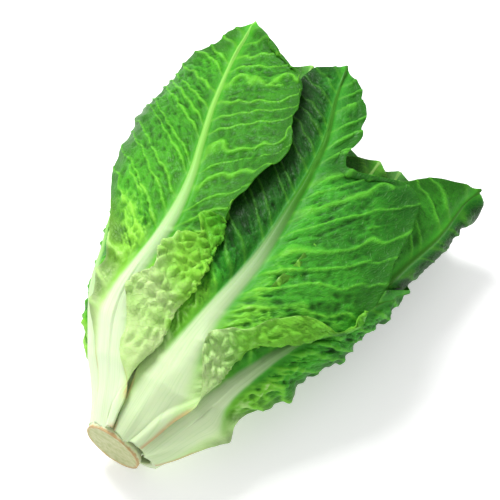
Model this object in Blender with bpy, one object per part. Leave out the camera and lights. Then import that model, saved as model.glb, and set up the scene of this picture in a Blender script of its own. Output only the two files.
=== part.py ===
"""Head of romaine lettuce lying on its back, cut stem towards -Y and leaf tips towards +Y.

Every leaf is its own closed body: a fleshy rib that thins into a blade on either side.  The leaves are
laid one over another from the heart outwards round a short stem, as they grow, and never touch.
"""

import math

import bpy
import numpy as np

# ---------------------------------------------------------------- driving dimensions, in millimetres
STEM_RADIUS = 19.5
STEM_LENGTH = 66.0
STEM_EDGE = 1.6
STEM_PROFILE = [(0, STEM_RADIUS - STEM_EDGE), (1.4, STEM_RADIUS), (7, STEM_RADIUS), (12, 16), (16, 13.5),
                (24, 9), (32, 6.5), (45, 4.5), (STEM_LENGTH, 3)]
SCAR_REACH = 1.9
SCAR_COUNT = 5
STEM_SIDES = 30

# The envelope of the whole head: (distance from the cut, size) stations.
HALF_WIDTH = [(0, 20), (20, 30), (40, 44), (80, 71), (130, 95), (180, 111), (230, 118), (280, 118),
              (330, 110)]
HALF_HEIGHT = [(0, 20), (20, 24), (40, 28), (80, 34), (130, 38), (180, 40), (230, 38), (280, 34), (330, 29)]
CENTRE_HEIGHT = [(0, 20), (20, 22), (40, 25), (80, 31), (130, 36), (180, 38), (230, 37), (280, 35), (330, 33)]
CENTRE_SIDE = [(0, 0), (120, 0), (230, -3), (330, -5)]

BLADE = 0.9
PETIOLE_KEEL = 3.6
RIB_KEEL = 1.9
PETIOLE_HALF = 11.0
RIB_HALF = 3.2
GAP = 1.25
SWEEP = 0.55
CREASE_ROUND = 4.0
FLAP_CLEAR = 0.8

# Layering grid: bearing round the head by distance from the cut.
BEARINGS = 240
STEP_Y = 2.0
GRID_Y = 176

MATERIALS = {
    "outer": ((0.10, 0.33, 0.05, 1.0), 0.45),
    "under": ((0.13, 0.38, 0.07, 1.0), 0.48),
    "middle": ((0.24, 0.50, 0.11, 1.0), 0.48),
    "heart": ((0.56, 0.68, 0.26, 1.0), 0.50),
    "stem": ((0.76, 0.74, 0.55, 1.0), 0.60),
}

# Half-width outlines of the blade, as (share of rib length, mm).
OUTER = [(0, 10), (0.10, 18), (0.25, 34), (0.45, 54), (0.65, 64), (0.82, 60), (1, 50)]
MIDDLE = [(0, 8.5), (0.12, 16), (0.30, 32), (0.50, 47), (0.70, 55), (0.85, 50), (1, 42)]
HEART = [(0, 6.5), (0.15, 12), (0.35, 22), (0.60, 32), (0.80, 34), (1, 28)]

# The leaves from the heart outwards.  "rib" is (distance from the cut, bearing in degrees from the top,
# turning towards +X); "layer" is the share of the head's envelope it lies at; "left" and "right" are the
# outlines to the -bearing and +bearing side; "crease" is where that half is folded back over the rib;
# "sweep" is how far its right half leans towards the tip; "clear" is room kept free beneath it, in mm.
LEAVES = [
    dict(name="leaf_heart_1", kind="heart", layer=0.20, scale=0.70,
         rib=[(52, 20), (170, 10)], left=HEART, right=HEART),
    dict(name="leaf_heart_2", kind="heart", layer=0.25, scale=0.80,
         rib=[(48, 160), (185, 172)], left=HEART, right=HEART),
    dict(name="leaf_heart_3", kind="heart", layer=0.30, scale=0.92,
         rib=[(44, -70), (200, -40)], left=HEART, right=HEART),
    dict(name="leaf_heart_4", kind="heart", layer=0.38, scale=1.0,
         rib=[(41, 75), (212, 52)], left=HEART, right=HEART),
    dict(name="leaf_heart_5", kind="heart", layer=0.34, scale=1.12,
         rib=[(37, 204), (225, 194)], left=HEART, right=HEART),
    dict(name="leaf_heart_6", kind="heart", layer=0.42, scale=1.2,
         rib=[(35, -15), (236, -8)], left=HEART, right=HEART),
    dict(name="leaf_middle_1", kind="middle", layer=0.47, scale=0.86,
         rib=[(32, 122), (244, 140)], left=MIDDLE, right=MIDDLE),
    dict(name="leaf_middle_2", kind="middle", layer=0.51, scale=0.9,
         rib=[(30, -105), (252, -128)], left=MIDDLE, right=MIDDLE),
    dict(name="leaf_middle_3", kind="middle", layer=0.55, scale=0.94,
         rib=[(28, 40), (258, 42)], left=MIDDLE, right=MIDDLE),
    dict(name="leaf_middle_4", kind="middle", layer=0.58, scale=1.0,
         rib=[(26, 178), (262, 180)], left=MIDDLE, right=MIDDLE),
    dict(name="leaf_middle_5", kind="middle", layer=0.60, scale=1.0,
         rib=[(24, -45), (268, -48)], left=MIDDLE, right=MIDDLE),
    dict(name="leaf_middle_6", kind="middle", layer=0.66, scale=1.0,
         rib=[(22, 88), (256, 74)], left=MIDDLE, right=MIDDLE),
    dict(name="leaf_middle_7", kind="middle", layer=0.70, scale=1.06,
         rib=[(20, -8), (298, -26)], left=MIDDLE, right=MIDDLE),
    dict(name="leaf_under_1", kind="under", layer=0.76, scale=1.0,
         rib=[(16, 240), (90, 216), (276, 208)], left=OUTER, right=OUTER),
    dict(name="leaf_under_2", kind="under", layer=0.82, scale=1.02,
         rib=[(12, 122), (90, 146), (284, 150)], left=OUTER, right=OUTER),
    dict(name="leaf_left_low", kind="outer", layer=0.97, scale=0.95,
         rib=[(10, -72), (60, -74), (110, -80), (205, -83)],
         left=[(0, 9), (0.06, 22), (0.15, 36), (0.4, 44), (0.75, 40), (1, 26)],
         right=[(0, 9), (0.06, 20), (0.15, 34), (0.4, 44), (0.75, 40), (1, 26)]),
    dict(name="leaf_right_high", kind="outer", layer=0.93, scale=0.98,
         rib=[(18, 40), (80, 54), (150, 66), (210, 71), (275, 74)],
         left=[(0, 10), (0.10, 18), (0.25, 34), (0.45, 50), (0.65, 59), (0.75, 57), (0.85, 49),
               (0.95, 34), (1, 14)],
         right=OUTER),
    dict(name="leaf_under_3", kind="under", layer=0.92, scale=1.04,
         rib=[(11, 186), (292, 182)], left=OUTER, right=OUTER),
    dict(name="leaf_right_low", kind="outer", layer=0.93, scale=1.0,
         rib=[(11, 70), (46, 54), (80, 50), (110, 54), (150, 67), (188, 82)],
         left=[(0, 9), (0.2, 15), (0.45, 22), (0.75, 20), (1, 12)],
         right=[(0, 9.5), (0.15, 22), (0.4, 38), (0.7, 42), (1, 30)]),
    dict(name="leaf_top_middle", kind="outer", layer=0.93, scale=1.0, clear=3.0,
         rib=[(9.4, 25), (40, 15), (80, 11), (129, 12), (178, 10), (230, 6), (274, -2), (306, -7)],
         left=[(0, 9.5), (0.10, 18), (0.25, 34), (0.45, 48), (0.65, 50), (0.85, 44), (1, 36)],
         right=[(0, 9.5), (0.05, 12), (0.08, 18), (0.114, 36), (0.175, 45), (0.22, 52), (0.25, 66),
                (0.28, 76), (0.32, 78), (0.36, 62), (0.43, 60), (0.48, 60), (0.53, 56), (0.57, 50),
                (0.60, 41), (0.64, 21), (0.70, 16), (0.77, 21), (0.9, 21), (1, 20)],
         crease=[(0, 14), (0.06, 15), (0.114, 21), (0.175, 24), (0.22, 31), (0.25, 49), (0.28, 60),
                 (0.32, 70), (0.36, 110), (1, 140)],
         sweep=[(0, 0), (0.15, 0.55), (0.30, 0.57), (0.36, 0.66), (0.43, 0.8), (0.48, 0.95), (0.53, 1.1),
                (0.60, 1.25), (0.80, 1.2), (1, 0.3)]),
    dict(name="leaf_top_left", kind="outer", layer=1.0, scale=1.0,
         rib=[(9, -22), (35, -31), (60, -36), (84, -32), (126, -26), (157, -27), (188, -31), (233, -39),
              (262, -45), (311, -53)],
         left=[(0, 9.5), (0.10, 14), (0.20, 20), (0.28, 27), (0.34, 56), (0.40, 68), (0.55, 76),
               (0.72, 76), (0.77, 68), (0.81, 54), (0.845, 36), (0.88, 25), (0.91, 25), (0.94, 27),
               (0.98, 20), (1, 15)],
         right=[(0, 9.5), (0.04, 12), (0.06, 20), (0.10, 42), (0.125, 60), (0.16, 70), (0.225, 76),
                (0.30, 69), (0.35, 56), (0.39, 44), (0.42, 38), (0.51, 46), (0.56, 58), (0.67, 60),
                (0.82, 71), (0.88, 64), (0.95, 46), (1, 34)],
         crease=[(0, 14), (0.06, 16), (0.10, 26), (0.125, 35), (0.16, 39), (0.225, 44), (0.30, 42),
                 (0.37, 41), (0.41, 60), (0.45, 140), (1, 150)]),
]


# ---------------------------------------------------------------- smooth curves and the head's frame
def through(stations, at):
    """A smooth curve through (place, value) stations that doesn't overshoot, level beyond its ends."""
    places, values = np.array(stations, float).T
    at = np.asarray(at, float)
    runs = np.diff(places)
    slopes = np.diff(values) / runs
    tangents = np.zeros(len(places))
    both = slopes[:-1] * slopes[1:]
    total = slopes[:-1] + slopes[1:]
    tangents[1:-1] = np.where(both > 0, 2 * both / np.where(both > 0, total, 1.0), 0.0)
    tangents[0] = slopes[0]
    tangents[-1] = slopes[-1]
    k = np.clip(np.searchsorted(places, at) - 1, 0, len(places) - 2)
    t = np.clip((at - places[k]) / runs[k], 0.0, 1.0)
    rise = values[k] * (2 * t**3 - 3 * t**2 + 1) + values[k + 1] * (3 * t**2 - 2 * t**3)
    lean = tangents[k] * (t**3 - 2 * t**2 + t) + tangents[k + 1] * (t**3 - t**2)
    return rise + lean * runs[k]


def placed(bearing, y, share):
    """The point at this bearing, distance from the cut and share of the envelope."""
    x = through(CENTRE_SIDE, y) + share * through(HALF_WIDTH, y) * np.sin(bearing)
    z = through(CENTRE_HEIGHT, y) + share * through(HALF_HEIGHT, y) * np.cos(bearing)
    return np.stack([x, y + 0 * x, z], axis=-1)


def read_back(points):
    """Bearing, distance from the cut and share of the envelope of points."""
    y = points[..., 1]
    across = (points[..., 0] - through(CENTRE_SIDE, y)) / through(HALF_WIDTH, y)
    up = (points[..., 2] - through(CENTRE_HEIGHT, y)) / through(HALF_HEIGHT, y)
    return np.arctan2(across, up), y, np.hypot(across, up)


def share_per_mm(bearing, y):
    """How much share of the envelope one millimetre straight out takes up."""
    a = through(HALF_WIDTH, y)
    b = through(HALF_HEIGHT, y)
    return np.sqrt((a * np.cos(bearing)) ** 2 + (b * np.sin(bearing)) ** 2) / (a * b)


# ---------------------------------------------------------------- what already lies at each bearing
class Layers:
    """The outermost surface so far, as a share of the envelope, by bearing and distance from the cut."""

    def __init__(self):
        self.top = np.full((BEARINGS, GRID_Y), 0.03)

    def cells(self, bearing, y):
        i = np.round(bearing / (2 * math.pi) * BEARINGS).astype(int) % BEARINGS
        j = np.clip(np.round(y / STEP_Y).astype(int), 0, GRID_Y - 1)
        return i, j

    def cover(self, grid, fine=14):
        """Adds a sheet of points (rows by columns) to what is covered."""
        t = (np.arange(fine) + 0.5) / fine
        p00 = grid[:-1, :-1, None, None, :]
        p01 = grid[:-1, 1:, None, None, :]
        p10 = grid[1:, :-1, None, None, :]
        p11 = grid[1:, 1:, None, None, :]
        s = t[None, None, :, None, None]
        r = t[None, None, None, :, None]
        points = (p00 * (1 - s) + p10 * s) * (1 - r) + (p01 * (1 - s) + p11 * s) * r
        bearing, y, share = read_back(points.reshape(-1, 3))
        i, j = self.cells(bearing, y)
        np.maximum.at(self.top, (i, j), share)

    def widened(self, round_by, along_by):
        """The covered surface, each cell raised to the highest near it."""
        out = self.top.copy()
        for k in range(1, round_by + 1):
            out = np.maximum(out, np.maximum(np.roll(self.top, k, 0), np.roll(self.top, -k, 0)))
        wide = out.copy()
        for k in range(1, along_by + 1):
            wide[:, k:] = np.maximum(wide[:, k:], out[:, :-k])
            wide[:, :-k] = np.maximum(wide[:, :-k], out[:, k:])
        return wide


# ---------------------------------------------------------------- one leaf
def rows_of(kind):
    """Shares of the rib's length at which the blade has a row of points."""
    count = {"heart": 9, "middle": 10, "under": 12, "outer": 24}[kind]
    t = np.linspace(0, 1, count)
    return 0.994 * (0.45 * t + 0.55 * (1 - np.cos(t * math.pi)) / 2)


def columns_of(width, crease, kind):
    """Distances from the rib of one half's points, row by row, and how many come before the crease."""
    if crease is None:
        short = {"heart": (0, 0.2, 0.45, 0.72, 1), "middle": (0, 0.15, 0.4, 0.7, 1)}
        shares = short.get(kind, (0, 0.12, 0.32, 0.56, 0.8, 1))
        return np.outer(width, shares), len(shares)
    turn = np.minimum(crease, width - 0.5) - CREASE_ROUND
    turn = np.maximum(turn, 4.0)
    rest = np.maximum(width - turn, 1.5)
    bend = np.minimum(2 * CREASE_ROUND, 0.7 * rest)
    flat = [turn * k for k in (0, 0.2, 0.55, 1)]
    round_ = [turn + bend * k for k in (0.25, 0.5, 0.75, 1)]
    over = [turn + bend + (rest - bend) * k for k in (0.4, 0.75, 1)]
    return np.stack(flat + round_ + over, axis=1), len(flat)


def folded(s, crease):
    """Where a point at distance s from the rib ends up across and out, once turned back at the crease."""
    start = crease - CREASE_ROUND
    radius = 2 * CREASE_ROUND / math.pi
    turn = np.clip((s - start) / (2 * CREASE_ROUND), 0, 1) * math.pi
    beyond = np.maximum(s - start - 2 * CREASE_ROUND, 0)
    across = np.minimum(s, start) + radius * np.sin(turn) - beyond
    return across, radius * (1 - np.cos(turn)) + FLAP_CLEAR * np.clip(beyond / 12, 0, 1)


def bearings_across(rib_bearing, rib_y, sweep, layer, across, side):
    """Bearing of points this far across the blade, following the head's curve round."""
    step = 1.5
    reach = int(150 / step)
    table = np.empty((len(rib_y), reach))
    bearing = rib_bearing.copy()
    for k in range(reach):
        table[:, k] = bearing
        y = rib_y + sweep * k * step
        a = through(HALF_WIDTH, y)
        b = through(HALF_HEIGHT, y)
        bearing = bearing + side * step / (layer * np.hypot(a * np.cos(bearing), b * np.sin(bearing)))
    places = np.arange(reach) * step
    return np.array([np.interp(across[i], places, table[i]) for i in range(len(rib_y))])


def thickness(share, s, scale):
    """Thickness of the leaf at this share of its length and distance from the rib."""
    fade = np.clip(1 - share, 0, 1)
    keel = scale * (RIB_KEEL * fade + (PETIOLE_KEEL - RIB_KEEL) * fade**4)
    half = scale * (RIB_HALF + (PETIOLE_HALF - RIB_HALF) * fade**3)
    return BLADE + keel * np.exp(-((s / half) ** 2))


def normals_of(grid):
    """Unit normals of a sheet, on the side that faces out of the head."""
    along = np.gradient(grid, axis=0)
    across = np.gradient(grid, axis=1)
    normal = np.cross(across, along)
    return normal / np.maximum(np.linalg.norm(normal, axis=2, keepdims=True), 1e-9)


def leaf_sheets(leaf, layers):
    """The inner and outer sheets of a leaf: rows from stem to tip, columns from left margin to right.

    With them come each point's distance from the rib, negative on the left, and each row's share of the
    length."""
    scale = leaf["scale"]
    share = rows_of(leaf["kind"])
    ends = leaf["rib"]
    rib_y = ends[0][0] + (ends[-1][0] - ends[0][0]) * share
    rib_bearing = np.radians(through(ends, rib_y))
    even_sweep = SWEEP * np.clip(share / 0.15, 0, 1) * np.clip((1.0 - share) / 0.45, 0, 1)
    rounding = np.sqrt(np.clip(1 - share**7, 0.0, 1))
    parts = {}
    for side, which in ((-1, "left"), (1, "right")):
        width = np.maximum(scale * through(leaf[which], share) * rounding, 3.0)
        sweep = through(leaf["sweep"], share) if which == "right" and "sweep" in leaf else even_sweep
        crease = None
        if which == "right" and "crease" in leaf:
            crease = through(leaf["crease"], share)
        s, flat = columns_of(width, crease, leaf["kind"])
        across, out = s, 0 * s
        if crease is not None:
            across, out = folded(s, crease[:, None])
        y = rib_y[:, None] + sweep[:, None] * s
        bearing = bearings_across(rib_bearing, rib_y, sweep, leaf["layer"], across, side)
        if crease is not None:
            turned = np.clip((s - crease[:, None] + CREASE_ROUND) / (2 * CREASE_ROUND), 0, 1)
            a, b = through(HALF_WIDTH, y), through(HALF_HEIGHT, y)
            start = np.radians(through(ends, y))
            middle = start + 0.5 * across / (leaf["layer"] * np.hypot(a * np.cos(start), b * np.sin(start)))
            beside = start + across / (leaf["layer"] * np.hypot(a * np.cos(middle), b * np.sin(middle)))
            bearing = bearing + (beside - bearing) * turned
        parts[which] = (s, y, bearing, out, flat)
    left, right = parts["left"], parts["right"]
    join = [np.concatenate([left[k][:, :0:-1], right[k]], axis=1) for k in range(4)]
    s, y, bearing, out = join
    flat = left[0].shape[1] - 1 + right[4]
    thick = thickness(share[:, None], s, 0.5 + 0.5 * scale)
    per_mm = share_per_mm(bearing, y)
    round_by = {"heart": 9, "middle": 5}.get(leaf["kind"], 3)
    near = layers.widened(round_by, 4)[layers.cells(bearing, y)]
    far = layers.widened(round_by, 7)[layers.cells(bearing, y)]
    if leaf["kind"] in ("outer", "under"):
        near[0] = layers.widened(round_by, 2)[layers.cells(bearing[0], y[0])]
    need = near + (far - near) * np.clip(share[:, None] / 0.15 - 0.4, 0, 1)
    need = need + (GAP + leaf.get("clear", 0)) * per_mm
    along_leaf = np.sin(np.clip(share[:, None] * 1.2, 0, 1) * math.pi)
    hump = 3.0 * scale * along_leaf * np.sin(np.clip(s / 60, 0, 1) * math.pi)
    share_in = np.maximum(leaf["layer"] + (hump - thick) * per_mm, need)
    for _ in range(3):
        even = share_in.copy()
        even[2:-1] = 0.5 * share_in[2:-1] + 0.25 * (share_in[1:-2] + share_in[3:])
        even[:, 1:-1] = 0.5 * even[:, 1:-1] + 0.25 * (even[:, :-2] + even[:, 2:])
        share_in = np.maximum(even, need)
    inner = placed(bearing, y, share_in)
    outer = inner + thick[..., None] * normals_of(inner)
    if flat < inner.shape[1]:
        layers.cover(outer[:, :flat])
        wide = layers.widened(2, 4)
        over = wide[layers.cells(bearing, y)]
        lift = out + thick
        base = share_in[:, flat - 1 : flat]
        turned = np.where(out > CREASE_ROUND, over + (GAP + 1.2 + BLADE) * per_mm, base + lift * per_mm)
        least = np.maximum(np.maximum(base + out * per_mm, turned), need)
        share_in[:, flat:] = least[:, flat:]
        for _ in range(2):
            even = share_in.copy()
            even[1:-1] = 0.5 * share_in[1:-1] + 0.25 * (share_in[:-2] + share_in[2:])
            share_in[:, flat:] = np.maximum(even, least)[:, flat:]
        inner = placed(bearing, y, share_in)
        outer = inner + thick[..., None] * normals_of(inner)
    signed = np.concatenate([-s[:, : left[0].shape[1] - 1], s[:, left[0].shape[1] - 1 :]], axis=1)
    return inner, outer, signed, share


def shell(name, inner, outer):
    """A closed body between the two sheets of a leaf."""
    rows, columns = inner.shape[:2]
    points = np.concatenate([outer.reshape(-1, 3), inner.reshape(-1, 3)])
    half = rows * columns
    index = np.arange(half).reshape(rows, columns)
    faces = []
    for i in range(rows - 1):
        for j in range(columns - 1):
            a, b, c, d = index[i, j], index[i, j + 1], index[i + 1, j + 1], index[i + 1, j]
            faces.append((a, b, c, d))
            faces.append((half + d, half + c, half + b, half + a))
    edge = list(index[0, :]) + list(index[1:, -1]) + list(index[-1, -2::-1]) + list(index[-2:0:-1, 0])
    for k, here in enumerate(edge):
        after = edge[(k + 1) % len(edge)]
        faces.append((after, here, half + here, half + after))
    return make_object(name, points, faces)


# ---------------------------------------------------------------- the stem
def stem_radius(y):
    """Radius of the stem this far from the cut, before its leaf scars."""
    return through(STEM_PROFILE, y)


def stem_rings():
    """Rings of points along the stem, from the cut face to its tip, scarred where older leaves came away."""
    stations = np.array([0, 1.4, 3.4, 5.4, 7.4, 9.5, 12, 16, 20, 25, 32, 42, 54, STEM_LENGTH])
    turn = np.arange(STEM_SIDES) / STEM_SIDES * 2 * math.pi
    points = []
    for y in stations:
        around = np.sin(SCAR_COUNT * turn / 2 + 0.9 * y) ** 2
        reach = SCAR_REACH * around * math.exp(-(((y - 4.0) / 2.4) ** 2))
        radius = stem_radius(y) - SCAR_REACH * math.exp(-(((y - 4.0) / 3.0) ** 2)) + reach
        centre = through(CENTRE_HEIGHT, 0.0)
        for r, t in zip(np.broadcast_to(radius, turn.shape), turn):
            points.append((r * math.sin(t), y, centre + r * math.cos(t)))
    return np.array(points).reshape(len(stations), STEM_SIDES, 3)


def stem(rings):
    """The short stem as a closed body: a cut face, its scarred rim and a cone inside the leaves."""
    points = [tuple(point) for point in rings.reshape(-1, 3)]
    faces = []
    for i in range(len(rings) - 1):
        for k in range(STEM_SIDES):
            after = (k + 1) % STEM_SIDES
            a, b = i * STEM_SIDES + k, i * STEM_SIDES + after
            faces.append((a, b, b + STEM_SIDES, a + STEM_SIDES))
    last = len(points)
    points.append((0, 0.5, through(CENTRE_HEIGHT, 0.0)))
    points.append((0, STEM_LENGTH + 0.5, through(CENTRE_HEIGHT, 0.0)))
    for k in range(STEM_SIDES):
        after = (k + 1) % STEM_SIDES
        faces.append((last, after, k))
        top = (len(rings) - 1) * STEM_SIDES
        faces.append((last + 1, top + k, top + after))
    return make_object("stem_core", np.array(points), faces)


# ---------------------------------------------------------------- scene
def make_object(name, points, faces):
    """A mesh object from points in millimetres."""
    mesh = bpy.data.meshes.new(name)
    mesh.from_pydata((points * 0.001).tolist(), [], [tuple(int(v) for v in face) for face in faces])
    mesh.validate()
    obj = bpy.data.objects.new(name, mesh)
    bpy.context.scene.collection.objects.link(obj)
    return obj


def paint(obj, kind):
    """A material of its own for this piece."""
    colour, roughness = MATERIALS[kind]
    material = bpy.data.materials.new(obj.name)
    material.use_nodes = True
    shader = material.node_tree.nodes["Principled BSDF"]
    shader.inputs["Base Color"].default_value = colour
    shader.inputs["Roughness"].default_value = roughness
    material.diffuse_color = colour
    obj.data.materials.append(material)


def rest_on_ground(objects):
    """Moves every piece alike, so that the head stands on z = 0 with its box centred on the origin."""
    corners = np.array([tuple(v.co) for obj in objects for v in obj.data.vertices])
    low, high = corners.min(axis=0), corners.max(axis=0)
    shift = np.array([-(low[0] + high[0]) / 2, -(low[1] + high[1]) / 2, -low[2]])
    for obj in objects:
        for vertex in obj.data.vertices:
            vertex.co = tuple(np.array(vertex.co) + shift)


def build():
    for old in list(bpy.data.objects):
        bpy.data.objects.remove(old)
    layers = Layers()
    rings = stem_rings()
    core = stem(rings)
    paint(core, "stem")
    layers.cover(np.concatenate([rings, rings[:, :1]], axis=1))
    made = [core]
    for leaf in LEAVES:
        inner, outer, _, _ = leaf_sheets(leaf, layers)
        layers.cover(outer)
        layers.cover(inner)
        obj = shell(leaf["name"], inner, outer)
        paint(obj, leaf["kind"])
        made.append(obj)
    rest_on_ground(made)


build()
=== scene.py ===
# %% [markdown]
# # A head of romaine lettuce
#
# A romaine head is a short stem with two dozen long leaves laid over one another. Each leaf is one thick
# pale rib with a thin crinkled blade on both sides. The solid model already says where every leaf lies.
# This lesson lays the same leaves again by the same rule, draws each one as a fine sheet, and adds what
# makes it look like a leaf: the raised veins, the blisters between them, the wavy toothed edge and the
# skin.

# %% Load the solid model
import math

import bpy
import numpy as np
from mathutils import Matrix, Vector


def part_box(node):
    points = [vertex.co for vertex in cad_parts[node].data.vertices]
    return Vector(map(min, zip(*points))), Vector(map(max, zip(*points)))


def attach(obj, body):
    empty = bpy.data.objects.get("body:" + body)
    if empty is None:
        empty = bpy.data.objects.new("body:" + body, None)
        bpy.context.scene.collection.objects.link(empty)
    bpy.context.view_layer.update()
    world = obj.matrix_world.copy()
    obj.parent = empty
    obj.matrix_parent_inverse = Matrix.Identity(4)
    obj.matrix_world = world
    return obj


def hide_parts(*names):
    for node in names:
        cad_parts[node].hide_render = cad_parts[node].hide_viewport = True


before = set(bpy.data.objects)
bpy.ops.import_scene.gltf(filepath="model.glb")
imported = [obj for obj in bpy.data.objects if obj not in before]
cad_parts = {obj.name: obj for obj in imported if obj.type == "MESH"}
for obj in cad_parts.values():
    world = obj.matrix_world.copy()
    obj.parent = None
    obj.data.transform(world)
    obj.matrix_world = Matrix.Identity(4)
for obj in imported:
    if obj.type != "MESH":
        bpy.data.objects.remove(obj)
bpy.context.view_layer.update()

# %% [markdown]
# The rule works in the head's own millimetres, measured along the head from the middle of the cut face. The
# stem's box in the solid model says where that point is, so nothing has to be fitted by eye.

# %% Where the head starts
STEM_RADIUS = 19.5
STEM_LENGTH = 66.0
STEM_EDGE = 1.6
STEM_PROFILE = [(0, STEM_RADIUS - STEM_EDGE), (1.4, STEM_RADIUS), (7, STEM_RADIUS), (12, 16), (16, 13.5),
                (24, 9), (32, 6.5), (45, 4.5), (STEM_LENGTH, 3)]
SCAR_REACH = 1.9
SCAR_COUNT = 5
STEM_SIDES = 30
STEM_CENTRE = 20.0
stem_low, stem_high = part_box("stem_core")
HEAD_START = np.array([(stem_low.x + stem_high.x) / 2, stem_low.y, (stem_low.z + stem_high.z) / 2]) * 1000
HEAD_START[2] -= STEM_CENTRE
print("head starts at", HEAD_START.round(1), "mm")


def to_world(points):
    """Head millimetres to metres in the model's frame."""
    return (points + HEAD_START) * 0.001


# %% [markdown]
# The whole head fits an oval envelope that widens from the stem and stays wide to the tips. A point of a
# leaf is then given by three numbers: its bearing round the oval, its distance from the cut, and its share
# of the way out.

# %% The envelope of the head
HALF_WIDTH = [(0, 20), (20, 30), (40, 44), (80, 71), (130, 95), (180, 111), (230, 118), (280, 118),
              (330, 110)]
HALF_HEIGHT = [(0, 20), (20, 24), (40, 28), (80, 34), (130, 38), (180, 40), (230, 38), (280, 34), (330, 29)]
CENTRE_HEIGHT = [(0, 20), (20, 22), (40, 25), (80, 31), (130, 36), (180, 38), (230, 37), (280, 35), (330, 33)]
CENTRE_SIDE = [(0, 0), (120, 0), (230, -3), (330, -5)]


def through(stations, at):
    """A smooth curve through (place, value) stations that doesn't overshoot, level beyond its ends."""
    places, values = np.array(stations, float).T
    at = np.asarray(at, float)
    runs = np.diff(places)
    slopes = np.diff(values) / runs
    tangents = np.zeros(len(places))
    both = slopes[:-1] * slopes[1:]
    total = slopes[:-1] + slopes[1:]
    tangents[1:-1] = np.where(both > 0, 2 * both / np.where(both > 0, total, 1.0), 0.0)
    tangents[0] = slopes[0]
    tangents[-1] = slopes[-1]
    k = np.clip(np.searchsorted(places, at) - 1, 0, len(places) - 2)
    t = np.clip((at - places[k]) / runs[k], 0.0, 1.0)
    rise = values[k] * (2 * t**3 - 3 * t**2 + 1) + values[k + 1] * (3 * t**2 - 2 * t**3)
    lean = tangents[k] * (t**3 - 2 * t**2 + t) + tangents[k + 1] * (t**3 - t**2)
    return rise + lean * runs[k]


def placed(bearing, y, share):
    """The point at this bearing, distance from the cut and share of the envelope."""
    x = through(CENTRE_SIDE, y) + share * through(HALF_WIDTH, y) * np.sin(bearing)
    z = through(CENTRE_HEIGHT, y) + share * through(HALF_HEIGHT, y) * np.cos(bearing)
    return np.stack([x, y + 0 * x, z], axis=-1)


def read_back(points):
    """Bearing, distance from the cut and share of the envelope of points."""
    y = points[..., 1]
    across = (points[..., 0] - through(CENTRE_SIDE, y)) / through(HALF_WIDTH, y)
    up = (points[..., 2] - through(CENTRE_HEIGHT, y)) / through(HALF_HEIGHT, y)
    return np.arctan2(across, up), y, np.hypot(across, up)


def share_per_mm(bearing, y):
    """How much share of the envelope one millimetre straight out takes up."""
    a = through(HALF_WIDTH, y)
    b = through(HALF_HEIGHT, y)
    return np.sqrt((a * np.cos(bearing)) ** 2 + (b * np.sin(bearing)) ** 2) / (a * b)


# %% [markdown]
# Leaves are listed from the heart outwards with the same driving numbers as the solid model: the path of
# the rib, how far out the leaf lies, and its outline on either side. Two outer leaves have a crease, where
# the lower half of the blade is turned back over the rib. The top middle one also has `sweep`, which says
# how far the right half leans towards the tip for each millimetre across, and `clear` is extra room kept
# under a leaf.

# %% The leaves, from the heart outwards
BLADE = 0.9
PETIOLE_KEEL = 3.6
RIB_KEEL = 1.9
PETIOLE_HALF = 11.0
RIB_HALF = 3.2
GAP = 1.25
SWEEP = 0.55
CREASE_ROUND = 4.0
FLAP_CLEAR = 0.8
BEARINGS = 240
STEP_Y = 2.0
GRID_Y = 176
OUTER = [(0, 10), (0.10, 18), (0.25, 34), (0.45, 54), (0.65, 64), (0.82, 60), (1, 50)]
MIDDLE = [(0, 8.5), (0.12, 16), (0.30, 32), (0.50, 47), (0.70, 55), (0.85, 50), (1, 42)]
HEART = [(0, 6.5), (0.15, 12), (0.35, 22), (0.60, 32), (0.80, 34), (1, 28)]
OUTLINES = {"heart": HEART, "middle": MIDDLE, "under": OUTER}
EVEN_LEAVES = [
    ("heart_1", 0.20, 0.70, [(52, 20), (170, 10)]),
    ("heart_2", 0.25, 0.80, [(48, 160), (185, 172)]),
    ("heart_3", 0.30, 0.92, [(44, -70), (200, -40)]),
    ("heart_4", 0.38, 1.0, [(41, 75), (212, 52)]),
    ("heart_5", 0.34, 1.12, [(37, 204), (225, 194)]),
    ("heart_6", 0.42, 1.2, [(35, -15), (236, -8)]),
    ("middle_1", 0.47, 0.86, [(32, 122), (244, 140)]),
    ("middle_2", 0.51, 0.9, [(30, -105), (252, -128)]),
    ("middle_3", 0.55, 0.94, [(28, 40), (258, 42)]),
    ("middle_4", 0.58, 1.0, [(26, 178), (262, 180)]),
    ("middle_5", 0.60, 1.0, [(24, -45), (268, -48)]),
    ("middle_6", 0.66, 1.0, [(22, 88), (256, 74)]),
    ("middle_7", 0.70, 1.06, [(20, -8), (298, -26)]),
    ("under_1", 0.76, 1.0, [(16, 240), (90, 216), (276, 208)]),
    ("under_2", 0.82, 1.02, [(12, 122), (90, 146), (284, 150)]),
]
LEAVES = []
for name, layer, scale, rib in EVEN_LEAVES:
    kind = name[:-2]
    half = OUTLINES[kind]
    leaf = dict(name="leaf_" + name, kind=kind, layer=layer, scale=scale, rib=rib, left=half, right=half)
    LEAVES.append(leaf)
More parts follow.
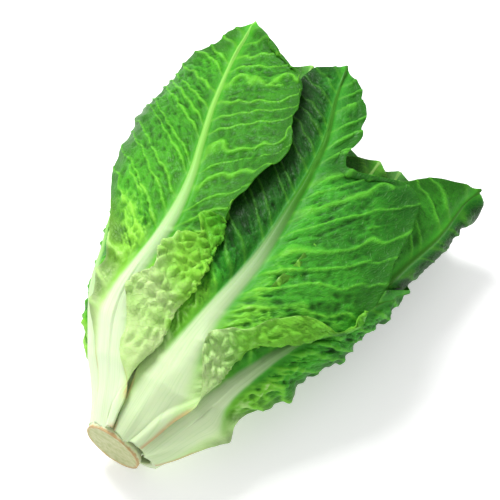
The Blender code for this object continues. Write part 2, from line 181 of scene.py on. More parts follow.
LEAVES += [
    dict(name="leaf_left_low", kind="outer", layer=0.97, scale=0.95,
         rib=[(10, -72), (60, -74), (110, -80), (205, -83)],
         left=[(0, 9), (0.06, 22), (0.15, 36), (0.4, 44), (0.75, 40), (1, 26)],
         right=[(0, 9), (0.06, 20), (0.15, 34), (0.4, 44), (0.75, 40), (1, 26)]),
    dict(name="leaf_right_high", kind="outer", layer=0.93, scale=0.98,
         rib=[(18, 40), (80, 54), (150, 66), (210, 71), (275, 74)],
         left=[(0, 10), (0.10, 18), (0.25, 34), (0.45, 50), (0.65, 59), (0.75, 57), (0.85, 49),
               (0.95, 34), (1, 14)],
         right=OUTER),
    dict(name="leaf_under_3", kind="under", layer=0.92, scale=1.04,
         rib=[(11, 186), (292, 182)], left=OUTER, right=OUTER),
    dict(name="leaf_right_low", kind="outer", layer=0.93, scale=1.0,
         rib=[(11, 70), (46, 54), (80, 50), (110, 54), (150, 67), (188, 82)],
         left=[(0, 9), (0.2, 15), (0.45, 22), (0.75, 20), (1, 12)],
         right=[(0, 9.5), (0.15, 22), (0.4, 38), (0.7, 42), (1, 30)]),
    dict(name="leaf_top_middle", kind="outer", layer=0.93, scale=1.0, clear=3.0,
         rib=[(9.4, 25), (40, 15), (80, 11), (129, 12), (178, 10), (230, 6), (274, -2), (306, -7)],
         left=[(0, 9.5), (0.10, 18), (0.25, 34), (0.45, 48), (0.65, 50), (0.85, 44), (1, 36)],
         right=[(0, 9.5), (0.05, 12), (0.08, 18), (0.114, 36), (0.175, 45), (0.22, 52), (0.25, 66),
                (0.28, 76), (0.32, 78), (0.36, 62), (0.43, 60), (0.48, 60), (0.53, 56), (0.57, 50),
                (0.60, 41), (0.64, 21), (0.70, 16), (0.77, 21), (0.9, 21), (1, 20)],
         crease=[(0, 14), (0.06, 15), (0.114, 21), (0.175, 24), (0.22, 31), (0.25, 49), (0.28, 60),
                 (0.32, 70), (0.36, 110), (1, 140)],
         sweep=[(0, 0), (0.15, 0.55), (0.30, 0.57), (0.36, 0.66), (0.43, 0.8), (0.48, 0.95), (0.53, 1.1),
                (0.60, 1.25), (0.80, 1.2), (1, 0.3)]),
    dict(name="leaf_top_left", kind="outer", layer=1.0, scale=1.0,
         rib=[(9, -22), (35, -31), (60, -36), (84, -32), (126, -26), (157, -27), (188, -31), (233, -39),
              (262, -45), (311, -53)],
         left=[(0, 9.5), (0.10, 14), (0.20, 20), (0.28, 27), (0.34, 56), (0.40, 68), (0.55, 76),
               (0.72, 76), (0.77, 68), (0.81, 54), (0.845, 36), (0.88, 25), (0.91, 25), (0.94, 27),
               (0.98, 20), (1, 15)],
         right=[(0, 9.5), (0.04, 12), (0.06, 20), (0.10, 42), (0.125, 60), (0.16, 70), (0.225, 76),
                (0.30, 69), (0.35, 56), (0.39, 44), (0.42, 38), (0.51, 46), (0.56, 58), (0.67, 60),
                (0.82, 71), (0.88, 64), (0.95, 46), (1, 34)],
         crease=[(0, 14), (0.06, 16), (0.10, 26), (0.125, 35), (0.16, 39), (0.225, 44), (0.30, 42),
                 (0.37, 41), (0.41, 60), (0.45, 140), (1, 150)]),
]
print(len(LEAVES), "leaves")

# %% [markdown]
# Leaves must not pass through each other. The way to be sure is to keep a map of what is already covered,
# by bearing and distance from the cut, and to lay each new leaf on top of that map.

# %% A map of what is covered
class Layers:
    """The outermost surface so far, as a share of the envelope, by bearing and distance from the cut."""

    def __init__(self):
        self.top = np.full((BEARINGS, GRID_Y), 0.03)

    def cells(self, bearing, y):
        i = np.round(bearing / (2 * math.pi) * BEARINGS).astype(int) % BEARINGS
        j = np.clip(np.round(y / STEP_Y).astype(int), 0, GRID_Y - 1)
        return i, j

    def cover(self, grid, fine=14):
        """Adds a sheet of points (rows by columns) to what is covered."""
        t = (np.arange(fine) + 0.5) / fine
        p00 = grid[:-1, :-1, None, None, :]
        p01 = grid[:-1, 1:, None, None, :]
        p10 = grid[1:, :-1, None, None, :]
        p11 = grid[1:, 1:, None, None, :]
        s = t[None, None, :, None, None]
        r = t[None, None, None, :, None]
        points = (p00 * (1 - s) + p10 * s) * (1 - r) + (p01 * (1 - s) + p11 * s) * r
        bearing, y, share = read_back(points.reshape(-1, 3))
        i, j = self.cells(bearing, y)
        np.maximum.at(self.top, (i, j), share)

    def widened(self, round_by, along_by):
        """The covered surface, each cell raised to the highest near it."""
        out = self.top.copy()
        for k in range(1, round_by + 1):
            out = np.maximum(out, np.maximum(np.roll(self.top, k, 0), np.roll(self.top, -k, 0)))
        wide = out.copy()
        for k in range(1, along_by + 1):
            wide[:, k:] = np.maximum(wide[:, k:], out[:, :-k])
            wide[:, :-k] = np.maximum(wide[:, :-k], out[:, k:])
        return wide


# %% [markdown]
# Laying one leaf needs the rows and columns of its points, the turn of the crease, and the way a blade
# follows the oval round. These are the same helpers as in the solid model, so both come out alike.

# %% Helpers for one leaf
def rows_of(kind):
    """Shares of the rib's length at which the blade has a row of points."""
    count = {"heart": 9, "middle": 10, "under": 12, "outer": 24}[kind]
    t = np.linspace(0, 1, count)
    return 0.994 * (0.45 * t + 0.55 * (1 - np.cos(t * math.pi)) / 2)


def columns_of(width, crease, kind):
    """Distances from the rib of one half's points, row by row, and how many come before the crease."""
    if crease is None:
        short = {"heart": (0, 0.2, 0.45, 0.72, 1), "middle": (0, 0.15, 0.4, 0.7, 1)}
        shares = short.get(kind, (0, 0.12, 0.32, 0.56, 0.8, 1))
        return np.outer(width, shares), len(shares)
    turn = np.minimum(crease, width - 0.5) - CREASE_ROUND
    turn = np.maximum(turn, 4.0)
    rest = np.maximum(width - turn, 1.5)
    bend = np.minimum(2 * CREASE_ROUND, 0.7 * rest)
    flat = [turn * k for k in (0, 0.2, 0.55, 1)]
    round_ = [turn + bend * k for k in (0.25, 0.5, 0.75, 1)]
    over = [turn + bend + (rest - bend) * k for k in (0.4, 0.75, 1)]
    return np.stack(flat + round_ + over, axis=1), len(flat)


def folded(s, crease):
    """Where a point at distance s from the rib ends up across and out, once turned back at the crease."""
    start = crease - CREASE_ROUND
    radius = 2 * CREASE_ROUND / math.pi
    turn = np.clip((s - start) / (2 * CREASE_ROUND), 0, 1) * math.pi
    beyond = np.maximum(s - start - 2 * CREASE_ROUND, 0)
    across = np.minimum(s, start) + radius * np.sin(turn) - beyond
    return across, radius * (1 - np.cos(turn)) + FLAP_CLEAR * np.clip(beyond / 12, 0, 1)


def bearings_across(rib_bearing, rib_y, sweep, layer, across, side):
    """Bearing of points this far across the blade, following the head's curve round."""
    step = 1.5
    reach = int(150 / step)
    table = np.empty((len(rib_y), reach))
    bearing = rib_bearing.copy()
    for k in range(reach):
        table[:, k] = bearing
        y = rib_y + sweep * k * step
        a = through(HALF_WIDTH, y)
        b = through(HALF_HEIGHT, y)
        bearing = bearing + side * step / (layer * np.hypot(a * np.cos(bearing), b * np.sin(bearing)))
    places = np.arange(reach) * step
    return np.array([np.interp(across[i], places, table[i]) for i in range(len(rib_y))])


def thickness(share, s, scale):
    """Thickness of the leaf at this share of its length and distance from the rib."""
    fade = np.clip(1 - share, 0, 1)
    keel = scale * (RIB_KEEL * fade + (PETIOLE_KEEL - RIB_KEEL) * fade**4)
    half = scale * (RIB_HALF + (PETIOLE_HALF - RIB_HALF) * fade**3)
    return BLADE + keel * np.exp(-((s / half) ** 2))


def normals_of(grid):
    """Unit normals of a sheet, on the side that faces out of the head."""
    along = np.gradient(grid, axis=0)
    across = np.gradient(grid, axis=1)
    normal = np.cross(across, along)
    return normal / np.maximum(np.linalg.norm(normal, axis=2, keepdims=True), 1e-9)


# %% Lay one leaf
def leaf_sheets(leaf, layers):
    """The inner and outer sheets of a leaf: rows from stem to tip, columns from left margin to right.

    With them come each point's distance from the rib, negative on the left, and each row's share of the
    length."""
    scale = leaf["scale"]
    share = rows_of(leaf["kind"])
    ends = leaf["rib"]
    rib_y = ends[0][0] + (ends[-1][0] - ends[0][0]) * share
    rib_bearing = np.radians(through(ends, rib_y))
    even_sweep = SWEEP * np.clip(share / 0.15, 0, 1) * np.clip((1.0 - share) / 0.45, 0, 1)
    rounding = np.sqrt(np.clip(1 - share**7, 0.0, 1))
    parts = {}
    for side, which in ((-1, "left"), (1, "right")):
        width = np.maximum(scale * through(leaf[which], share) * rounding, 3.0)
        sweep = through(leaf["sweep"], share) if which == "right" and "sweep" in leaf else even_sweep
        crease = None
        if which == "right" and "crease" in leaf:
            crease = through(leaf["crease"], share)
        s, flat = columns_of(width, crease, leaf["kind"])
        across, out = s, 0 * s
        if crease is not None:
            across, out = folded(s, crease[:, None])
        y = rib_y[:, None] + sweep[:, None] * s
        bearing = bearings_across(rib_bearing, rib_y, sweep, leaf["layer"], across, side)
        if crease is not None:
            turned = np.clip((s - crease[:, None] + CREASE_ROUND) / (2 * CREASE_ROUND), 0, 1)
            a, b = through(HALF_WIDTH, y), through(HALF_HEIGHT, y)
            start = np.radians(through(ends, y))
            middle = start + 0.5 * across / (leaf["layer"] * np.hypot(a * np.cos(start), b * np.sin(start)))
            beside = start + across / (leaf["layer"] * np.hypot(a * np.cos(middle), b * np.sin(middle)))
            bearing = bearing + (beside - bearing) * turned
        parts[which] = (s, y, bearing, out, flat)
    left, right = parts["left"], parts["right"]
    join = [np.concatenate([left[k][:, :0:-1], right[k]], axis=1) for k in range(4)]
    s, y, bearing, out = join
    flat = left[0].shape[1] - 1 + right[4]
    thick = thickness(share[:, None], s, 0.5 + 0.5 * scale)
    per_mm = share_per_mm(bearing, y)
    round_by = {"heart": 9, "middle": 5}.get(leaf["kind"], 3)
    near = layers.widened(round_by, 4)[layers.cells(bearing, y)]
    far = layers.widened(round_by, 7)[layers.cells(bearing, y)]
    if leaf["kind"] in ("outer", "under"):
        near[0] = layers.widened(round_by, 2)[layers.cells(bearing[0], y[0])]
    need = near + (far - near) * np.clip(share[:, None] / 0.15 - 0.4, 0, 1)
    need = need + (GAP + leaf.get("clear", 0)) * per_mm
    along_leaf = np.sin(np.clip(share[:, None] * 1.2, 0, 1) * math.pi)
    hump = 3.0 * scale * along_leaf * np.sin(np.clip(s / 60, 0, 1) * math.pi)
    share_in = np.maximum(leaf["layer"] + (hump - thick) * per_mm, need)
    for _ in range(3):
        even = share_in.copy()
        even[2:-1] = 0.5 * share_in[2:-1] + 0.25 * (share_in[1:-2] + share_in[3:])
        even[:, 1:-1] = 0.5 * even[:, 1:-1] + 0.25 * (even[:, :-2] + even[:, 2:])
        share_in = np.maximum(even, need)
    inner = placed(bearing, y, share_in)
    outer = inner + thick[..., None] * normals_of(inner)
    if flat < inner.shape[1]:
        layers.cover(outer[:, :flat])
        wide = layers.widened(2, 4)
        over = wide[layers.cells(bearing, y)]
        lift = out + thick
        base = share_in[:, flat - 1 : flat]
        turned = np.where(out > CREASE_ROUND, over + (GAP + 1.2 + BLADE) * per_mm, base + lift * per_mm)
        least = np.maximum(np.maximum(base + out * per_mm, turned), need)
        share_in[:, flat:] = least[:, flat:]
        for _ in range(2):
            even = share_in.copy()
            even[1:-1] = 0.5 * share_in[1:-1] + 0.25 * (share_in[:-2] + share_in[2:])
            share_in[:, flat:] = np.maximum(even, least)[:, flat:]
        inner = placed(bearing, y, share_in)
        outer = inner + thick[..., None] * normals_of(inner)
    signed = np.concatenate([-s[:, : left[0].shape[1] - 1], s[:, left[0].shape[1] - 1 :]], axis=1)
    return inner, outer, signed, share


# %% Lay all of them
def stem_radius(y):
    """Radius of the stem this far from the cut, before its leaf scars."""
    return through(STEM_PROFILE, y)


def stem_rings():
    """Rings of points along the stem, from the cut face to its tip, scarred where older leaves came away."""
    stations = np.array([0, 1.4, 3.4, 5.4, 7.4, 9.5, 12, 16, 20, 25, 32, 42, 54, STEM_LENGTH])
    turn = np.arange(STEM_SIDES) / STEM_SIDES * 2 * math.pi
    points = []
    for y in stations:
        around = np.sin(SCAR_COUNT * turn / 2 + 0.9 * y) ** 2
        reach = SCAR_REACH * around * math.exp(-(((y - 4.0) / 2.4) ** 2))
        radius = stem_radius(y) - SCAR_REACH * math.exp(-(((y - 4.0) / 3.0) ** 2)) + reach
        centre = through(CENTRE_HEIGHT, 0.0)
        for r, t in zip(np.broadcast_to(radius, turn.shape), turn):
            points.append((r * math.sin(t), y, centre + r * math.cos(t)))
    return np.array(points).reshape(len(stations), STEM_SIDES, 3)


layers = Layers()
rings = stem_rings()
layers.cover(np.concatenate([rings, rings[:, :1]], axis=1))
laid = {}
for leaf in LEAVES:
    inner, outer, signed, share = leaf_sheets(leaf, layers)
    layers.cover(outer)
    layers.cover(inner)
    laid[leaf["name"]] = dict(inner=inner, outer=outer, signed=signed, share=share)
worst = 0
for name, sheet in laid.items():
    low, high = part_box(name)
    points = to_world(np.concatenate([sheet["inner"].reshape(-1, 3), sheet["outer"].reshape(-1, 3)]))
    off_low, off_high = points.min(0) - np.array(low), points.max(0) - np.array(high)
    worst = max(worst, np.abs(off_low).max(), np.abs(off_high).max())
print("leaves laid; furthest from the solid model's boxes:", round(worst * 1000, 2), "mm")

# %% [markdown]
# A leaf under others has less room to crinkle. Going the other way, from the outermost leaf inwards, the
# same kind of map holds the lowest surface above each place, and gives every leaf its headroom.

# %% Headroom above each leaf
OPEN_AIR = 9.0
FULL_ROOM = 3.0
ROOM_MARGIN = 0.15
LEAST_ROOM = 0.02
ROOM_CELLS = (1, 2, 3)
SPOTS = (np.arange(14) + 0.5) / 14
above_of = {}
above = np.full((BEARINGS, GRID_Y), OPEN_AIR)
for leaf in reversed(LEAVES):
    above_of[leaf["name"]] = above.copy()
    coarse = laid[leaf["name"]]["inner"]
    for s in SPOTS:
        line = coarse[:-1] * (1 - s) + coarse[1:] * s
        for r in SPOTS:
            points = line[:, :-1] * (1 - r) + line[:, 1:] * r
            bearing, y, share = read_back(points.reshape(-1, 3))
            np.minimum.at(above, layers.cells(bearing, y), share)
for leaf in LEAVES:
    sheet = laid[leaf["name"]]
    bearing, y, share = read_back(sheet["outer"])
    low = above_of[leaf["name"]]
    wide = low.copy()
    for k in ROOM_CELLS:
        for axis in (0, 1):
            wide = np.minimum(wide, np.minimum(np.roll(low, k, axis), np.roll(low, -k, axis)))
    gap = (wide[layers.cells(bearing, y)] - share) / share_per_mm(bearing, y)
    sheet["room"] = np.clip(gap / FULL_ROOM - ROOM_MARGIN, LEAST_ROOM, 1.0)
free = (laid["leaf_top_left"]["room"] > 0.9).mean()
print("headroom found; the outermost leaf is free over", round(float(free * 100)), "%")

# %% [markdown]
# A leaf of the solid model has from about eighty to four hundred points on a side. The fine sheet passes a
# smooth curve through those points, first along the leaf, then across it. Spacing its columns by distance
# from the rib keeps the net even, also round the crease.

# %% From coarse to fine
def between_rows(grid, at):
    """Values on a smooth curve through the rows of a grid, at places between them."""
    last = len(grid) - 1
    k = np.clip(np.floor(at).astype(int), 0, last - 1)
    t = (at - k).reshape((-1,) + (1,) * (grid.ndim - 1))
    a, b, c, d = grid[np.maximum(k - 1, 0)], grid[k], grid[k + 1], grid[np.minimum(k + 2, last)]
    return 0.5 * (2 * b + (c - a) * t + (2 * a - 5 * b + 4 * c - d) * t**2 + (3 * b - a - 3 * c + d) * t**3)


def between_columns(grid, at):
    """The same across a grid, with a list of places for each row."""
    last = grid.shape[1] - 1
    k = np.clip(np.floor(at).astype(int), 0, last - 1)
    t = at - k
    if grid.ndim == 3:
        t = t[..., None]
    rows = np.arange(len(grid))[:, None]
    a, b = grid[rows, np.maximum(k - 1, 0)], grid[rows, k]
    c, d = grid[rows, k + 1], grid[rows, np.minimum(k + 2, last)]
    return 0.5 * (2 * b + (c - a) * t + (2 * a - 5 * b + 4 * c - d) * t**2 + (3 * b - a - 3 * c + d) * t**3)


def step(low, high, value):
    """Rises smoothly from 0 at low to 1 at high."""
    t = np.clip((value - low) / (high - low), 0, 1)
    return t * t * (3 - 2 * t)


def ripple(places, seed):
    """A smooth random wave between -1 and 1 with one knot per unit of length."""
    knots = np.random.default_rng(seed).uniform(-1, 1, 997)
    k = np.floor(places).astype(int)
    t = places - k
    t = t * t * (3 - 2 * t)
    return knots[k % 997] * (1 - t) + knots[(k + 1) % 997] * t


# %% [markdown]
# The rib is a rounded band that narrows from two centimetres at the stem to almost nothing at the tip, with
# a finer ridge along it. Side veins leave it on alternate sides every centimetre and a half, and bend
# towards the tip.

# %% The rib and the side veins
RIB_WIDTH = [(0, 10.5), (0.08, 10.2), (0.16, 7.6), (0.26, 5.2), (0.40, 3.8), (0.57, 2.6), (0.75, 1.7),
             (0.9, 1.0), (1, 0.6)]
RIB_HEIGHT = [(0, 4.4), (0.12, 4.0), (0.3, 3.2), (0.5, 2.3), (0.75, 1.4), (0.9, 0.7), (1, 0.3)]
VEIN_EVERY = 15.0
VEIN_LEAN = 0.42
VEIN_BEND = 0.0016


def rib_shape(share, across, scale):
    """Height of the rib above the blade, and how much of a point is rib."""
    half = np.maximum(through(RIB_WIDTH, share)[:, None] * scale, 0.6)
    height = through(RIB_HEIGHT, share)[:, None] * scale
    place = np.abs(across) / half
    band = np.exp(-(place**3.0) * 0.9)
    ridge = np.exp(-(((across + 0.12 * half) / (0.22 * half)) ** 2))
    return height * (0.90 * band + 0.10 * ridge), 1 - step(0.75, 1.45, place)


def side_veins(along, across, share, seed):
    """Place across the side veins, and how strongly each point lies on one."""
    side = np.where(across < 0, 0.0, 0.5)
    reach = np.abs(across)
    lateral = along[:, None] - VEIN_LEAN * reach + VEIN_BEND * reach**2
    wander = 3.0 * ripple(reach / 14 + 3 * np.round(lateral / 24), seed)
    wander = wander + 2.0 * ripple(reach / 6 + lateral / 30, seed + 3)
    place = (lateral + wander) / VEIN_EVERY + side + 0.35 * ripple(lateral / VEIN_EVERY, seed + 1)
    off = np.abs(place - np.round(place)) * VEIN_EVERY
    wide = 1.5 - 0.8 * step(0, 60, reach)
    fade = step(0.08, 0.2, share)[:, None] * (1 - 0.5 * step(0.85, 1.0, share)[:, None])
    return lateral, np.exp(-((off / wide) ** 2)) * fade, np.cos(2 * math.pi * place)


# %% [markdown]
# Near the stem the leaves hug it closely and their bases run down to the rim of the cut. The solid model
# keeps a gap there, because its parts must not touch. The visible leaves are drawn in towards the stem over
# the last 4 cm. The head isn't quite round either: low on its right it is fuller by the stem and a little
# flatter further on, and the other side is a touch fuller.

# %% Draw the bases in
DRAW_IN = [(0, 0.74), (9, 0.76), (20, 0.87), (38, 1.0)]
RUN_DOWN = 5.0
FULL_SIDE = 0.42
FLAT_SIDE = 0.08
FULL_OTHER = 0.07
RIGHT_AND_LOW = (0.9, -0.44)
LEFT = (-0.95, -0.1)


def facing(over, up, way):
    """How squarely a point lies this way from the stem's axis, from 0 to 1."""
    return np.clip((way[0] * over + way[1] * up) / np.maximum(np.hypot(over, up), 1), 0, 1) ** 2


def draw_in(points):
    """Pulls points near the cut towards the stem's axis and the rim."""
    y = points[..., 1]
    scale = through(DRAW_IN, y)
    over, up = points[..., 0], points[..., 2] - STEM_CENTRE
    side = facing(over, up, RIGHT_AND_LOW)
    other = facing(over, up, LEFT)
    scale = scale * (1 + FULL_SIDE * side * step(1, 12, y) * (1 - step(26, 66, y)))
    scale = scale * (1 - FLAT_SIDE * side * step(66, 115, y) * (1 - step(190, 240, y)))
    scale = scale * (1 + FULL_OTHER * other * step(14, 34, y) * (1 - step(70, 110, y)))
    out = points.copy()
    out[..., 0] = points[..., 0] * scale
    out[..., 2] = STEM_CENTRE + (points[..., 2] - STEM_CENTRE) * scale
    out[..., 1] = y - RUN_DOWN * (1 - step(9, 34, y))
    return out


# %% [markdown]
# The edge of a blade is longer than its middle, so it waves, more in the frilled lower wings than near the
# tip, and it is cut into small uneven teeth. Each leaf gets its own seed. A kind of leaf has a style, in
# millimetres, and some leaves have numbers of their own: the lower wings are frilled, and what lies close
# under another leaf stays calm.

# %% Style of each leaf
STYLE = {
    "heart": dict(spacing=2.0, frill=1.6, wave=20.0, teeth=0.7, flare=0.0, blister=0.8, fold=0.7, quilt=0.5),
    "middle": dict(spacing=1.8, frill=2.4, wave=26.0, teeth=0.8, flare=0.5, blister=0.8, fold=0.9, quilt=0.7),
    "under": dict(spacing=1.6, frill=1.6, wave=30.0, teeth=0.8, flare=0.0, blister=0.8, fold=1.0, quilt=0.8),
    "outer": dict(spacing=1.2, frill=3.0, wave=34.0, teeth=0.7, flare=1.5, blister=0.8, fold=1.0, quilt=1.0),
}
OWN_STYLE = {
    "leaf_top_left": dict(spacing=1.05, flare=5.0, quilt=1.0),
    "leaf_top_middle": dict(spacing=1.05, flare=2.0),
    "leaf_right_low": dict(spacing=0.9, frill=4.5, wave=20.0, teeth=1.3, blister=1.8, flare=1.5),
    "leaf_left_low": dict(spacing=1.0, blister=1.6, teeth=1.3, frill=4.5, flare=5.0, wave=24.0),
    "leaf_right_high": dict(flare=6.0, fold=0.5, blister=0.4),
    "leaf_middle_7": dict(spacing=1.4, fold=0.4, blister=0.3, flare=2.0),
    "leaf_middle_6": dict(frill=1.2, flare=0.0, fold=0.3, blister=0.3, quilt=0.2),
    "leaf_middle_3": dict(frill=1.0, flare=0.0, fold=0.3, blister=0.3, quilt=0.2),
}
SKIN = 0.5
SINK = 0.3
LOWEST = 0.15
FLAP_LOBE = 26.0
LOBE_DEPTH = 14.0
QUILT_HEIGHT = 1.0
SLOW_SWELL = 3.8
FOLD_SWELL = 1.1
CURL = 1.5
CALM_STEPS = 10
CALM_RIB_STEPS = 60
FLAP_BLISTER = 1.7


def turned_back(leaf, share, across):
    """How much of a point lies beyond the crease, on the part of the blade that is turned back."""
    if "crease" not in leaf:
        return 0 * across
    return step(-3, 6, across - through(leaf["crease"], share)[:, None])


def outline(width, along, share, turned, style, seed):
    """The width of one half of a blade once its edge is lobed and toothed."""
    tooth = style["teeth"] * (ripple(along / 13, seed) * 1.8 + ripple(along / 4.5, seed + 1))
    lobes = 1 - np.abs(np.sin(along / FLAP_LOBE * math.pi + 1.2 * ripple(along / 30, seed + 2))) ** 0.7
    frayed = LOBE_DEPTH * lobes + 2.5 * ripple(along / 5, seed + 3)
    cut = 3.0 * style["teeth"] - tooth + turned * frayed
    return np.maximum(width - cut * step(0.06, 0.16, share), 0.6 * width)


def evened(grid, times):
    """The grid with its small steps smoothed away, its border kept in place."""
    out = grid.copy()
    for _ in range(times):
        out[1:-1] = (out[:-2] + 2 * out[1:-1] + out[2:]) / 4
        out[:, 1:-1] = (out[:, :-2] + 2 * out[:, 1:-1] + out[:, 2:]) / 4
    return out


def fine_leaf(leaf, number):
    """The fine sheets of one leaf, with what its skin and relief need to know at each point."""
    style = {**STYLE[leaf["kind"]], **OWN_STYLE.get(leaf["name"], {})}
    sheet = laid[leaf["name"]]
    share_c, scale, seed = sheet["share"], leaf["scale"], 40 * number
    length = leaf["rib"][-1][0] - leaf["rib"][0][0]
    rows = int(length / style["spacing"])
    share = np.linspace(share_c[0], share_c[-1], rows)
    at = np.interp(share, share_c, np.arange(len(share_c)))
    grid = between_rows(sheet["inner"], at)
    reach = between_rows(sheet["signed"], at)
    room_c = between_rows(sheet["room"], at)
    along = share * length
    blunt = np.sqrt(np.clip(1 - step(0.9, 0.994, share) ** 2, 0.03, 1))
    sides, edges = [], []
    for side, width in ((-1, -reach[:, 0]), (1, reach[:, -1])):
        turned = turned_back(leaf, share, side * width[:, None])[:, 0]
        wide = outline(width, along, share, turned, style, seed + 5 * side + 6) * blunt
        count = int(width.max() / style["spacing"])
        steps = np.linspace(0, 1, count + 1)
        sides.append(side * wide[:, None] * steps)
        edges.append(wide[:, None] * (1 - steps))
    across = np.concatenate([sides[0][:, :0:-1], sides[1]], axis=1)
    edge = np.concatenate([edges[0][:, :0:-1], edges[1]], axis=1)
    columns = np.arange(grid.shape[1])
    place = np.array([np.interp(across[i], reach[i], columns) for i in range(rows)])
    base = evened(between_columns(grid, place), CALM_STEPS)
    room = np.clip(between_columns(room_c, place), LEAST_ROOM, 1)
    turned = turned_back(leaf, share, across)
    whole = 1 - turned
    normal = normals_of(base)
    rib_high, rib = rib_shape(share, across, 0.4 + 0.6 * scale)
    lateral, vein, between = side_veins(along, across, share, seed)
    off_rib = np.abs(across) - through(RIB_WIDTH, share)[:, None] * scale
    from_rib = np.maximum(off_rib, 0)
    blade = step(0.5, 8.0, off_rib) * step(0.05, 0.14, share)[:, None]

    # The edge waves and flares, as far as there is room.
    near_edge = np.exp(-((edge / 14.0) ** 1.4)) * step(0.05, 0.16, share)[:, None]
    line = along[:, None] + 0.4 * np.abs(across)
    wave = ripple(line / style["wave"] * 2 + 50 * (across > 0), seed + 11)
    wave = wave + 0.45 * ripple(line / style["wave"] * 5 + 90 * (across > 0), seed + 12)
    free = np.clip(room * 1.4, 0, 1)
    lift = near_edge * (style["frill"] * np.where(wave < 0, 0.4 * wave, wave) * free + style["flare"] * room)
    lift = lift + turned * near_edge * CURL * np.maximum(wave, 0)

    # The blade swells between its side veins, in slow waves and in long folds beside the rib.
    swell = QUILT_HEIGHT * style["quilt"] * between * blade * np.exp(-from_rib / 42) * whole
    slow = ripple(lateral / 34 + 7, seed + 14) * ripple(np.abs(across) / 40 + 3 + 9 * (across > 0), seed + 15)
    swell = swell + SLOW_SWELL * slow * blade * (1 - 0.6 * turned)
    crease = ripple(lateral / 9 + 0.25 * ripple(across / 9, seed + 17), seed + 16)
    crease = 1 - 2.6 * np.abs(crease + 0.35 * ripple(across / 16 + 40, seed + 18))
    patches = ripple(across / 24 + 9, seed + 21) + ripple(lateral / 30, seed + 22)
    patch = np.clip(0.7 + 0.45 * patches, 0.15, 1.2)
    folded_up = FOLD_SWELL * patch * style["fold"] * crease * blade * step(6, 26, edge)
    swell = swell + folded_up * np.exp(-from_rib / 55) * whole
    swell = np.where(swell < 0, -SINK * np.tanh(-swell / SINK), swell)
    base = base + normal * (lift * (1 - 2 * turned) + swell * free)[..., None]
    thick = SKIN + rib_high * whole
    outer = base + normals_of(evened(base, CALM_RIB_STEPS)) * thick[..., None]

    # What the relief and the skin read later.
    fold = style["fold"] * (1 - 0.75 * turned) * patch * (0.35 + 0.75 * np.exp(-from_rib / 40))
    smooth_edge = 0.12 + 0.88 * step(2, 22, edge)
    low_wing = 1 - step(0.15, 0.5, share)[:, None]
    blister = style["blister"] * (0.25 + 0.45 * low_wing) * whole + FLAP_BLISTER * turned
    blister = blister * (smooth_edge + turned * (1 - smooth_edge)) * blade * room
    facts = dict(across=across, lateral=lateral, edge=edge, blade=blade, turned=turned, out=normals_of(base),
                 vein=vein * whole, rib=rib * whole, fold=fold * smooth_edge * blade * room, blister=blister,
                 share=share[:, None] + 0 * across)
    return base, outer, facts


# %% [markdown]
# A closed shell needs both sheets and a rim joining them. The numbers that the relief and the skin read
# later are stored on its points as attributes.

# %% A leaf as a closed shell
STORED = ("across", "lateral", "vein", "rib", "edge", "fold", "blister", "blade", "share", "tone", "turned")
def shell(name, inner, outer, facts):
    """A closed mesh between two sheets, carrying the leaf's own measures."""
    rows, columns = inner.shape[:2]
    half = rows * columns
    index = np.arange(half).reshape(rows, columns)
    a, b, c, d = index[:-1, :-1], index[:-1, 1:], index[1:, 1:], index[1:, :-1]
    top = np.stack([a, b, c, d], axis=-1).reshape(-1, 4)
    under = np.stack([half + d, half + c, half + b, half + a], axis=-1).reshape(-1, 4)
    edge = np.concatenate([index[0, :], index[1:, -1], index[-1, -2::-1], index[-2:0:-1, 0]])
    after = np.roll(edge, -1)
    rim = np.stack([after, edge, half + edge, half + after], axis=-1)
    faces = np.concatenate([top, under, rim])
    points = draw_in(np.concatenate([outer.reshape(-1, 3), inner.reshape(-1, 3)]))
    points[:, 2] = np.maximum(points[:, 2], LOWEST - HEAD_START[2])
    mesh = bpy.data.meshes.new(name)
    mesh.vertices.add(len(points))
    mesh.vertices.foreach_set("co", to_world(points).ravel())
    mesh.loops.add(len(faces) * 4)
    mesh.loops.foreach_set("vertex_index", faces.ravel())
    mesh.polygons.add(len(faces))
    mesh.polygons.foreach_set("loop_start", np.arange(len(faces)) * 4)
    mesh.update(calc_edges=True)
    for key in STORED:
        layer = mesh.attributes.new(key, "FLOAT", "POINT")
        layer.data.foreach_set("value", np.tile(facts[key].ravel(), 2))
    layer = mesh.attributes.new("out", "FLOAT_VECTOR", "POINT")
    layer.data.foreach_set("vector", np.tile(facts["out"].reshape(-1, 3), (2, 1)).ravel())
    obj = bpy.data.objects.new(name, mesh)
    bpy.context.scene.collection.objects.link(obj)
    mesh.polygons.foreach_set("use_smooth", np.ones(len(faces), bool))
    return obj


# %% [markdown]
# Between the veins a romaine blade is puckered: long folds beside the rib that follow the side veins, and
# round blisters elsewhere. They are hollow on the outer side of the leaf and bulge on its inner side. This
# is a rule over a surface, so Geometry Nodes make it: noise stretched along the veins for the folds, and
# cells for the blisters.

# %% Helpers for node trees
NODES_IN_A_ROW = 12


def fill(tree, made, inputs):
    """Fills a node's inputs: each value is a number, a name, a colour, or another node's socket to link."""
    for key, value in inputs.items():
        if isinstance(value, bpy.types.NodeSocket):
            tree.links.new(value, made.inputs[key])
        else:
            made.inputs[key].default_value = value


def node(tree, kind, inputs=None, **settings):
    """Adds a node with its settings and inputs, and places it in the next free spot."""
    made = tree.nodes.new(kind)
    row, column = divmod(len(tree.nodes), NODES_IN_A_ROW)
    made.location = (column * 180, row * -320)
    for key, value in settings.items():
        setattr(made, key, value)
    fill(tree, made, inputs or {})
    return made


def maths(tree, operation, *values):
    """A Math node; each value is a number or a socket."""
    return node(tree, "ShaderNodeMath", dict(enumerate(values)), operation=operation).outputs[0]


